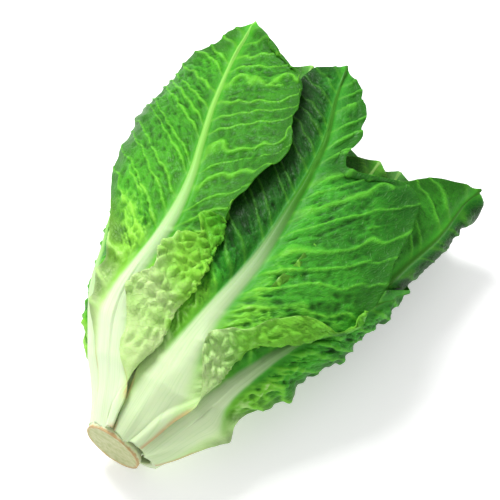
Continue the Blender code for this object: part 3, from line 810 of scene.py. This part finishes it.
# %% A node tree for the relief
RELIEF_INPUTS = {"Fold height": 0.0024, "Fold width": 9.0, "Fold length": 17.0, "Blister height": 0.0024,
                 "Blister size": 7.5, "Vein height": 0.0010, "Seed": 1.0}
DEEPEST_PUSH = -0.0008
MM_PER_METRE = 1000.0


def relief_tree():
    """Geometry Nodes that push a leaf's points in and out along its own normal."""
    tree = bpy.data.node_groups.new("Leaf relief", "GeometryNodeTree")
    face = tree.interface
    face.new_socket("Geometry", in_out="INPUT", socket_type="NodeSocketGeometry")
    for name, value in RELIEF_INPUTS.items():
        face.new_socket(name, in_out="INPUT", socket_type="NodeSocketFloat").default_value = value
    face.new_socket("Skin", in_out="INPUT", socket_type="NodeSocketMaterial")
    face.new_socket("Geometry", in_out="OUTPUT", socket_type="NodeSocketGeometry")
    given = node(tree, "NodeGroupInput").outputs
    held = {}
    for key in ("across", "lateral", "vein", "blade", "fold", "blister"):
        held[key] = node(tree, "GeometryNodeInputNamedAttribute", {"Name": key}).outputs["Attribute"]
    out = node(tree, "GeometryNodeInputNamedAttribute", {"Name": "out"}, data_type="FLOAT_VECTOR")

    # Folds: noise stretched along the side veins, bent into sharp hollows.
    fold_at = node(tree, "ShaderNodeCombineXYZ", {
        "X": maths(tree, "DIVIDE", held["lateral"], given["Fold width"]),
        "Y": maths(tree, "DIVIDE", held["across"], given["Fold length"]),
        "Z": given["Seed"]}).outputs[0]
    fold = node(tree, "ShaderNodeTexNoise", {
        "Scale": 1.0, "Detail": 3.5, "Roughness": 0.6, "Distortion": 1.2, "Vector": fold_at}).outputs[0]
    bent = maths(tree, "ABSOLUTE", maths(tree, "SUBTRACT", fold, 0.5))
    hollow = maths(tree, "SUBTRACT", 0.75, maths(tree, "MULTIPLY", bent, 5.0))
    folds = maths(tree, "MULTIPLY", maths(tree, "MULTIPLY", hollow, held["fold"]), given["Fold height"])

    # Blisters: cells with a dome in each, warped so that no two are alike.
    spot = node(tree, "GeometryNodeInputPosition").outputs[0]
    cells_per_metre = maths(tree, "DIVIDE", MM_PER_METRE, given["Blister size"])
    cell_at = {0: spot, "Scale": cells_per_metre}
    cell_at = node(tree, "ShaderNodeVectorMath", cell_at, operation="SCALE").outputs[0]
    warp = node(tree, "ShaderNodeTexNoise", {"Scale": 0.7, "Vector": cell_at}).outputs["Color"]
    warped = {0: warp, 1: (0.9, 0.9, 0.9), 2: cell_at}
    warped = node(tree, "ShaderNodeVectorMath", warped, operation="MULTIPLY_ADD").outputs[0]
    cells = node(tree, "ShaderNodeTexVoronoi", {"Scale": 1.0, "Vector": warped}, feature="DISTANCE_TO_EDGE")
    dome = {"From Max": 0.32, "Value": cells.outputs["Distance"]}
    dome = node(tree, "ShaderNodeMapRange", dome, interpolation_type="SMOOTHSTEP").outputs[0]
    sunk = maths(tree, "MULTIPLY", maths(tree, "SUBTRACT", 0.75, dome), held["blister"])
    blisters = maths(tree, "MULTIPLY", sunk, given["Blister height"])

    veins = maths(tree, "MULTIPLY", held["vein"], held["blade"])
    veins = maths(tree, "MULTIPLY", veins, given["Vein height"])
    relief = maths(tree, "ADD", maths(tree, "ADD", folds, blisters), veins)
    push = {0: out.outputs["Attribute"], "Scale": maths(tree, "MAXIMUM", relief, DEEPEST_PUSH)}
    push = node(tree, "ShaderNodeVectorMath", push, operation="SCALE").outputs[0]
    kept = {"Name": "relief", "Geometry": given["Geometry"],
            "Value": maths(tree, "MULTIPLY", relief, MM_PER_METRE)}
    kept = node(tree, "GeometryNodeStoreNamedAttribute", kept, data_type="FLOAT", domain="POINT").outputs[0]
    moved = node(tree, "GeometryNodeSetPosition", {"Geometry": kept, "Offset": push}).outputs[0]
    real = node(tree, "GeometryNodeRealizeInstances", {0: moved}).outputs[0]
    skin = node(tree, "GeometryNodeSetMaterial", {"Geometry": real, "Material": given["Skin"]}).outputs[0]
    node(tree, "NodeGroupOutput", {0: skin})
    return tree


RELIEF = relief_tree()
SOCKETS = {item.name: item.identifier for item in RELIEF.interface.items_tree if item.in_out == "INPUT"}
print("relief tree:", len(RELIEF.nodes), "nodes")


def bake(obj, tree, values):
    """Runs a Geometry Nodes tree on an object and keeps the result as its plain mesh."""
    modifier = obj.modifiers.new("relief", "NODES")
    modifier.node_group = tree
    for name, value in values.items():
        modifier[SOCKETS[name]] = value
    bpy.context.view_layer.update()
    result = bpy.data.meshes.new_from_object(obj.evaluated_get(bpy.context.evaluated_depsgraph_get()))
    obj.modifiers.clear()
    old = obj.data
    obj.data = result
    bpy.data.meshes.remove(old)
    result.name = obj.name
    result.polygons.foreach_set("use_smooth", np.ones(len(result.polygons), bool))
    return obj


# %% [markdown]
# Skin colour goes from cream at the stem through yellow-green to deep green at the tips. One number on each
# point, its tone, picks the colour. A shader group turns tone, rib, vein and relief into the leaf's colour,
# roughness and fine height, painting shade into the hollows and light onto the ridges, and each material
# uses it with its own colours.

# %% The skin group
SKIN_COLOURS = ("Pale", "Bright", "Mid", "Deep", "Rib stem", "Rib tip", "Torn")
MOTTLE_TONE = 0.36
RELIEF_SHADE_TONE = -0.11
NET_CELL = (2.0, 2.4)
NET_LINE = 0.12
NET_SHOWS = 0.28
VEIN_SHOWS = 0.75
VEIN_PALER = 0.42
HOLLOW_SHADE_TO_RIDGE_LIGHT = (0.34, 1.12)
DEEP_SHADE = 0.42
TONE_MOST = 1.6


def mix(tree, amount, first, second, blend="MIX"):
    """A colour Mix node."""
    inputs = {0: amount, 6: first, 7: second}
    return node(tree, "ShaderNodeMix", inputs, data_type="RGBA", blend_type=blend).outputs[2]


def read(tree, name):
    """The value stored on the leaf's points under this name."""
    return node(tree, "ShaderNodeAttribute", attribute_name=name).outputs["Fac"]


def ranged(tree, value, low, high, to_low=0.0, to_high=1.0):
    """A smooth Map Range."""
    inputs = {"Value": value, "From Min": low, "From Max": high, "To Min": to_low, "To Max": to_high}
    return node(tree, "ShaderNodeMapRange", inputs, interpolation_type="SMOOTHSTEP").outputs[0]


def skin_group():
    """A shader group: colour, roughness and fine height of leaf skin."""
    tree = bpy.data.node_groups.new("Leaf skin", "ShaderNodeTree")
    face = tree.interface
    for name in SKIN_COLOURS:
        face.new_socket(name, in_out="INPUT", socket_type="NodeSocketColor")
    face.new_socket("Roughness", in_out="INPUT", socket_type="NodeSocketFloat").default_value = 0.4
    face.new_socket("Color", in_out="OUTPUT", socket_type="NodeSocketColor")
    face.new_socket("Roughness", in_out="OUTPUT", socket_type="NodeSocketFloat")
    face.new_socket("Height", in_out="OUTPUT", socket_type="NodeSocketFloat")
    given = node(tree, "NodeGroupInput").outputs
    where = node(tree, "ShaderNodeTexCoord").outputs["Object"]

    # Tone, made uneven by a mottle and, as painted light and shade, paler on raised places and deeper in
    # hollows, picks the colour.
    mottle = node(tree, "ShaderNodeTexNoise", {"Scale": 38.0, "Detail": 4.0, "Vector": where}).outputs[0]
    uneven = maths(tree, "SUBTRACT", mottle, 0.5)
    whole = maths(tree, "MULTIPLY_ADD", read(tree, "turned"), -1.0, 1.0)
    relief = maths(tree, "MULTIPLY", maths(tree, "SUBTRACT", read(tree, "relief"), 1.0), whole)
    tone = maths(tree, "MULTIPLY_ADD", uneven, MOTTLE_TONE, read(tree, "tone"))
    tone = maths(tree, "MULTIPLY_ADD", relief, RELIEF_SHADE_TONE, tone)
    colour = mix(tree, ranged(tree, tone, 0.10, 0.34), given["Pale"], given["Bright"])
    colour = mix(tree, ranged(tree, tone, 0.32, 0.62), colour, given["Mid"])
    colour = mix(tree, ranged(tree, tone, 0.60, 1.0), colour, given["Deep"])

    # A net of fine veins, then the side veins.
    across = maths(tree, "DIVIDE", read(tree, "across"), NET_CELL[1])
    lateral = maths(tree, "DIVIDE", read(tree, "lateral"), NET_CELL[0])
    net_at = node(tree, "ShaderNodeCombineXYZ", {0: lateral, 1: across}).outputs[0]
    net = node(tree, "ShaderNodeTexVoronoi", {"Scale": 1.0, "Vector": net_at}, feature="DISTANCE_TO_EDGE")
    lines = ranged(tree, net.outputs["Distance"], 0.0, NET_LINE, 1.0, 0.0)
    vein_colour = mix(tree, VEIN_PALER, colour, given["Bright"])
    colour = mix(tree, maths(tree, "MULTIPLY", lines, NET_SHOWS), colour, vein_colour)
    colour = mix(tree, maths(tree, "MULTIPLY", read(tree, "vein"), VEIN_SHOWS), colour, vein_colour)

    # The rib, pale at the stem and greener at the tip, with streaks along it.
    tipward = ranged(tree, read(tree, "share"), 0.12, 0.62)
    rib_colour = mix(tree, tipward, given["Rib stem"], given["Rib tip"])
    streak_at = {0: maths(tree, "MULTIPLY", across, 2.6), 1: maths(tree, "MULTIPLY", lateral, 0.05)}
    streak_at = node(tree, "ShaderNodeCombineXYZ", streak_at).outputs[0]
    streaks = node(tree, "ShaderNodeTexNoise", {"Scale": 1.0, "Vector": streak_at}).outputs[0]
    streaky = ranged(tree, streaks, 0.45, 0.80, 0.0, 0.22)
    rib_colour = mix(tree, streaky, rib_colour, given["Bright"], "MULTIPLY")
    colour = mix(tree, read(tree, "rib"), colour, rib_colour)

    # Torn brown edges near the cut, then painted shade in the blade's hollows and painted light on its
    # ridges, deepest where the tone marks painted deep shade.
    at_edge = ranged(tree, read(tree, "edge"), 0.5, 2.2, 0.75, 0.0)
    at_cut = ranged(tree, read(tree, "share"), 0.05, 0.13, 1.0, 0.0)
    torn = maths(tree, "MULTIPLY", maths(tree, "MULTIPLY", at_edge, at_cut), ranged(tree, mottle, 0.42, 0.60))
    colour = mix(tree, torn, colour, given["Torn"])
    # The relief multiplies the blade's colour: painted shade in hollows, painted light on ridges.
    hollow = ranged(tree, relief, -1.5, 0.7, *HOLLOW_SHADE_TO_RIDGE_LIGHT)
    hollow = maths(tree, "MULTIPLY", hollow, ranged(tree, tone, 1.05, TONE_MOST, 1.0, DEEP_SHADE))
    painted_light_and_shade = node(tree, "ShaderNodeCombineColor", {0: hollow, 1: hollow, 2: hollow}).outputs[0]
    blade = read(tree, "blade")
    colour = mix(tree, blade, colour, painted_light_and_shade, "MULTIPLY")

    rough = maths(tree, "ADD", given["Roughness"], maths(tree, "MULTIPLY", uneven, 0.25))
    grain = node(tree, "ShaderNodeTexNoise", {"Scale": 900.0, "Vector": where}).outputs[0]
    height = maths(tree, "ADD", lines, maths(tree, "MULTIPLY", grain, 0.5))
    height = maths(tree, "MULTIPLY", height, blade)
    height = maths(tree, "ADD", height, maths(tree, "MULTIPLY", streaks, 0.15))
    node(tree, "NodeGroupOutput", {"Color": colour, "Roughness": rough, "Height": height})
    return tree


SKIN_GROUP = skin_group()
print("skin group:", len(SKIN_GROUP.nodes), "nodes")


# %% A leaf's material
TORN = (0.58, 0.37, 0.17)
SKIN_ROUGHNESS = 0.42
SKIN_SHINE = 0.14


def leaf_material(name, colours, glow=0.18):
    """Leaf skin as a material, with its own colours from pale to deep and for the rib."""
    material = bpy.data.materials.new(name)
    material.use_nodes = True
    tree = material.node_tree
    inputs = {key: (*colour, 1.0) for key, colour in zip(SKIN_COLOURS, (*colours, TORN))}
    inputs["Roughness"] = SKIN_ROUGHNESS
    skin = node(tree, "ShaderNodeGroup", inputs, node_tree=SKIN_GROUP).outputs
    bump = node(tree, "ShaderNodeBump", {"Strength": 0.6, "Distance": 0.00035, "Height": skin["Height"]})
    fill(tree, tree.nodes["Principled BSDF"], {
        "Base Color": skin["Color"], "Roughness": skin["Roughness"], "Normal": bump.outputs[0],
        "Subsurface Weight": glow, "Subsurface Radius": (0.6, 1.0, 0.25), "Subsurface Scale": 0.0012,
        "Specular IOR Level": SKIN_SHINE})
    return material


# %% [markdown]
# The outer leaves are deep green, those on the right a little bluer, and the leaves inside get paler
# towards the yellow heart. A skin has six colours: pale, bright, middling and deep green, then the rib at
# the stem and at the tip. The bluer skin's rib is much darker, as painted shade: the rib of the top middle
# leaf lies in the shadow of the top left leaf, and the other bluer leaves share that skin.

# %% The materials
OUTER_SKIN = [(0.60, 0.83, 0.33), (0.27, 0.67, 0.055), (0.070, 0.42, 0.014),
              (0.030, 0.25, 0.008), (0.74, 0.86, 0.58), (0.26, 0.60, 0.10)]
# Its rib colours, at the stem and at the tip, are darkened as painted shade.
BLUE_SKIN_RIB_IN_PAINTED_SHADE = [(0.56, 0.80, 0.32), (0.19, 0.58, 0.040), (0.055, 0.37, 0.022),
             (0.022, 0.21, 0.014), (0.66, 0.81, 0.48), (0.045, 0.21, 0.012)]
UNDER_SKIN = [(0.58, 0.78, 0.33), (0.25, 0.58, 0.065), (0.065, 0.33, 0.018),
              (0.024, 0.19, 0.010), (0.70, 0.82, 0.54), (0.24, 0.52, 0.10)]
MIDDLE_SKIN = [(0.70, 0.84, 0.40), (0.36, 0.68, 0.09), (0.10, 0.42, 0.026),
               (0.036, 0.25, 0.013), (0.76, 0.85, 0.56), (0.32, 0.62, 0.14)]
HEART_SKIN = [(0.80, 0.85, 0.42), (0.62, 0.76, 0.20), (0.38, 0.64, 0.10),
              (0.20, 0.48, 0.05), (0.80, 0.85, 0.56), (0.56, 0.72, 0.26)]
SKINS = {
    "outer": leaf_material("outer_leaf_skin", OUTER_SKIN),
    "blue": leaf_material("blue_green_leaf_skin", BLUE_SKIN_RIB_IN_PAINTED_SHADE),
    "under": leaf_material("under_leaf_skin", UNDER_SKIN),
    "middle": leaf_material("middle_leaf_skin", MIDDLE_SKIN, glow=0.3),
    "heart": leaf_material("heart_leaf_skin", HEART_SKIN, glow=0.35),
}
SKIN_OF = {"leaf_right_high": "blue", "leaf_right_low": "blue", "leaf_top_middle": "blue"}
print(len(SKINS), "leaf skins")

# %% [markdown]
# Tone follows the leaf from stem to tip, but a leaf also pales towards its rib, and towards its edge as a
# painted sheen, and the turned-back lower wings, which grew in the shade, stay yellow-green. Half of two
# leaves lies in the deep shade of the leaf over it and is darkened there as painted shade. The right high
# leaf is lighter all over as a painted sheen, and of two more leaves one is a little lighter, one darker.

# %% Tone of each leaf
TONE = [(0, 0.02), (0.12, 0.14), (0.25, 0.40), (0.42, 0.66), (0.7, 0.86), (1, 0.88)]
TURNED_TONE = [(0, 0.08), (0.14, 0.20), (0.30, 0.47), (0.45, 0.66), (1, 0.7)]
# leaf_right_high is lighter as a painted sheen; top_left and left_low differ in their own tone.
TONE_AND_SHEEN_SHIFT = {"leaf_right_high": -0.2, "leaf_top_left": -0.06, "leaf_left_low": 0.2}
# The shaded half (-1 left, 1 right), and from which to which share of its length.
SHELTERED = {"leaf_top_middle": (-1, 0.28, 1.0), "leaf_right_high": (1, 0.2, 1.2)}
SHELTER_TONE = 0.8
SHELTER_ENDS = 0.14


def tone_of(leaf, facts):
    """How green each point of a leaf is, from 0 at the stem to 1, and above 1 where it lies in deep shade."""
    share = facts["share"] + 0.0012 * np.abs(facts["across"])
    tone = through(TONE, share) - 0.12 * np.exp(-np.abs(facts["across"]) / 14)
    # Paler towards the edge: a painted sheen.
    tone = tone - 0.14 * np.exp(-facts["edge"] / 9)
    tone = tone + TONE_AND_SHEEN_SHIFT.get(leaf["name"], 0.0)
    if leaf["name"] in SHELTERED:
        side, low, high = SHELTERED[leaf["name"]]
        span = step(low, low + SHELTER_ENDS, facts["share"])
        span = span * (1 - step(high - SHELTER_ENDS, high, facts["share"]))
        tone = tone + SHELTER_TONE * span * step(0, 8, side * facts["across"])
    tone = tone + (through(TURNED_TONE, facts["share"]) - tone) * facts["turned"]
    # A thin paler line along the very edge is a painted highlight too.
    return np.clip(tone - 0.10 * np.exp(-facts["edge"] / 1.2), 0, TONE_MOST)


# %% Build the leaves
for number, leaf in enumerate(LEAVES, start=1):
    inner, outer, facts = fine_leaf(leaf, number)
    facts["tone"] = tone_of(leaf, facts)
    piece = shell("skin_" + leaf["name"], inner, outer, facts)
    skin = SKINS[SKIN_OF.get(leaf["name"], leaf["kind"])]
    bake(piece, RELIEF, {"Seed": float(number), "Skin": skin})
    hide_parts(leaf["name"])
    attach(piece, "root")
    print(piece.name, len(piece.data.polygons) * 2, "triangles")

# %% [markdown]
# The stem is a stub about four centimetres across. Its cut face is nearly flat and dries to beige, with a
# browner rim, and thin torn scars of older leaves stand round it.

# %% The stem
STEM_FINE = 96
FACE_SAG = 0.5
FACE_SCALE = 1.01
FACE_RINGS = 22
STEM_BODY = [(0.4, 0.99), (1.0, 1.005), (2.2, 1.01), (3.4, 1.0), (5.0, 0.95), (8, 0.85), (14, 0.66),
             (24, 0.45), (40, 0.26), (STEM_LENGTH, 0.14)]


def stem_piece():
    """The visible stem: cut face, rim and a body that narrows inside the leaves."""
    turn = np.arange(STEM_FINE) / STEM_FINE * 2 * math.pi
    rim = 1 + 0.018 * ripple(turn / (2 * math.pi) * 9, 3) + 0.01 * ripple(turn / (2 * math.pi) * 31, 4)
    rim = rim * (1 + 0.02 * np.cos(turn * 2 + 0.6))
    rows = []
    for k, share in enumerate(np.linspace(0.04, 1, FACE_RINGS)):
        face = FACE_SAG * (1 - share**6) + 0.12 * ripple(turn * 2.0 + 7 * k, 9)
        rows.append((STEM_RADIUS * FACE_SCALE * share * (1 + (rim - 1) * share), face + 0 * turn))
    for y, radius in STEM_BODY:
        rows.append((STEM_RADIUS * radius * rim, y + 0.35 * ripple(turn * 1.5 + y, 5)))
    points = [(0, FACE_SAG, STEM_CENTRE)]
    for radius, y in rows:
        points += list(zip(radius * np.sin(turn), y, STEM_CENTRE + radius * np.cos(turn)))
    points.append((0, STEM_LENGTH + 0.5, STEM_CENTRE))
    faces = []
    for k in range(STEM_FINE):
        after = (k + 1) % STEM_FINE
        faces.append((0, 1 + after, 1 + k))
        for i in range(len(rows) - 1):
            a, b = 1 + i * STEM_FINE + k, 1 + i * STEM_FINE + after
            faces.append((a, b, b + STEM_FINE, a + STEM_FINE))
        base = 1 + (len(rows) - 1) * STEM_FINE
        faces.append((len(points) - 1, base + k, base + after))
    mesh = bpy.data.meshes.new("stem_stub")
    mesh.from_pydata(to_world(np.array(points, float)).tolist(), [], faces)
    mesh.update()
    mesh.polygons.foreach_set("use_smooth", np.ones(len(faces), bool))
    obj = bpy.data.objects.new("stem_stub", mesh)
    bpy.context.scene.collection.objects.link(obj)
    return obj


FLESH = (0.55, 0.57, 0.29, 1)
OLDER_FLESH = (0.44, 0.49, 0.22, 1)
TAN_RIM = (0.60, 0.38, 0.17, 1)
STEM_SIDE = (0.68, 0.76, 0.46, 1)


def stem_material():
    """Cut stem: greenish beige flesh, a tan rim and browner specks."""
    material = bpy.data.materials.new("cut_stem")
    material.use_nodes = True
    tree = material.node_tree
    where = node(tree, "ShaderNodeTexCoord").outputs["Object"]
    centre = tuple(to_world(np.array([0, 0, STEM_CENTRE])))
    middle = node(tree, "ShaderNodeVectorMath", {0: where, 1: centre}, operation="SUBTRACT").outputs[0]
    apart = node(tree, "ShaderNodeSeparateXYZ", {0: middle}).outputs
    squares = [maths(tree, "POWER", maths(tree, "ABSOLUTE", apart[k]), 2.0) for k in (0, 2)]
    radius = maths(tree, "SQRT", maths(tree, "ADD", *squares))
    noise = node(tree, "ShaderNodeTexNoise", {"Scale": 260.0, "Detail": 5.0, "Vector": where}).outputs[0]
    flesh = mix(tree, ranged(tree, noise, 0.35, 0.70), FLESH, OLDER_FLESH)
    ragged = maths(tree, "MULTIPLY_ADD", noise, 0.004, radius)
    colour = mix(tree, ranged(tree, ragged, 0.0190, 0.0215, 0.0, 0.85), flesh, TAN_RIM)
    inside = maths(tree, "MULTIPLY_ADD", noise, -0.0035, apart[1])
    colour = mix(tree, ranged(tree, inside, -0.0010, 0.0004), colour, STEM_SIDE)
    rough = ranged(tree, noise, 0.3, 0.7, 0.5, 0.75)
    bump = node(tree, "ShaderNodeBump", {"Distance": 0.0006, "Strength": 0.7, "Height": noise})
    fill(tree, tree.nodes["Principled BSDF"], {
        "Base Color": colour, "Roughness": rough, "Normal": bump.outputs[0],
        "Subsurface Weight": 0.2, "Subsurface Radius": (1.0, 0.8, 0.4), "Subsurface Scale": 0.003})
    return material


stem_obj = stem_piece()
stem_obj.data.materials.append(stem_material())
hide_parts("stem_core")
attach(stem_obj, "root")

# %% [markdown]
# The camera looks down on the head from beyond its cut end and to the right, with a long lens. The floor is
# white and the light is soft, from a large lamp high on the left and a white sky.

# %% Camera, floor and light
AZIMUTH, ELEVATION = math.radians(33), math.radians(58)
DISTANCE = 0.945
LENS = 105
LOOK_AT = to_world(np.array([1.6, 153.6, 45.3]))
camera = bpy.data.objects.new("camera", bpy.data.cameras.new("camera"))
bpy.context.scene.collection.objects.link(camera)
bpy.context.scene.camera = camera
level = math.cos(ELEVATION)
back = Vector((math.sin(AZIMUTH) * level, -math.cos(AZIMUTH) * level, math.sin(ELEVATION)))
camera.location = Vector(LOOK_AT) + back * DISTANCE
camera.rotation_euler = back.to_track_quat("Z", "Y").to_euler()
camera.data.lens = LENS
camera.data.clip_start = 0.01

FLOOR = 6.0
corners = [(-FLOOR, -FLOOR, 0), (FLOOR, -FLOOR, 0), (FLOOR, FLOOR, 0), (-FLOOR, FLOOR, 0)]
floor_mesh = bpy.data.meshes.new("floor")
floor_mesh.from_pydata(corners, [], [(0, 1, 2, 3)])
floor = bpy.data.objects.new("floor", floor_mesh)
bpy.context.scene.collection.objects.link(floor)
white = bpy.data.materials.new("white_floor")
white.use_nodes = True
fill(white.node_tree, white.node_tree.nodes["Principled BSDF"], {
    "Base Color": (0.97, 0.97, 0.97, 1), "Roughness": 0.5,
    "Emission Color": (1, 1, 1, 1), "Emission Strength": 0.30})
floor_mesh.materials.append(white)


LAMPS_AIM = (0, 0, 0.03)


def softbox(name, place, size, power):
    """A square area lamp aimed at the head."""
    lamp = bpy.data.lights.new(name, "AREA")
    lamp.size = size
    lamp.energy = power
    obj = bpy.data.objects.new(name, lamp)
    bpy.context.scene.collection.objects.link(obj)
    obj.location = place
    obj.rotation_euler = (Vector(place) - Vector(LAMPS_AIM)).to_track_quat("Z", "Y").to_euler()


softbox("key_light", (-0.8, 0.45, 1.15), 0.6, 21)
softbox("fill_light", (1.2, -0.9, 1.2), 1.2, 3)
world = bpy.data.worlds.new("sky")
bpy.context.scene.world = world
world.use_nodes = True
fill(world.node_tree, world.node_tree.nodes["Background"], {"Color": (1, 1, 1, 1), "Strength": 0.58})
bpy.context.scene.view_settings.view_transform = "Standard"
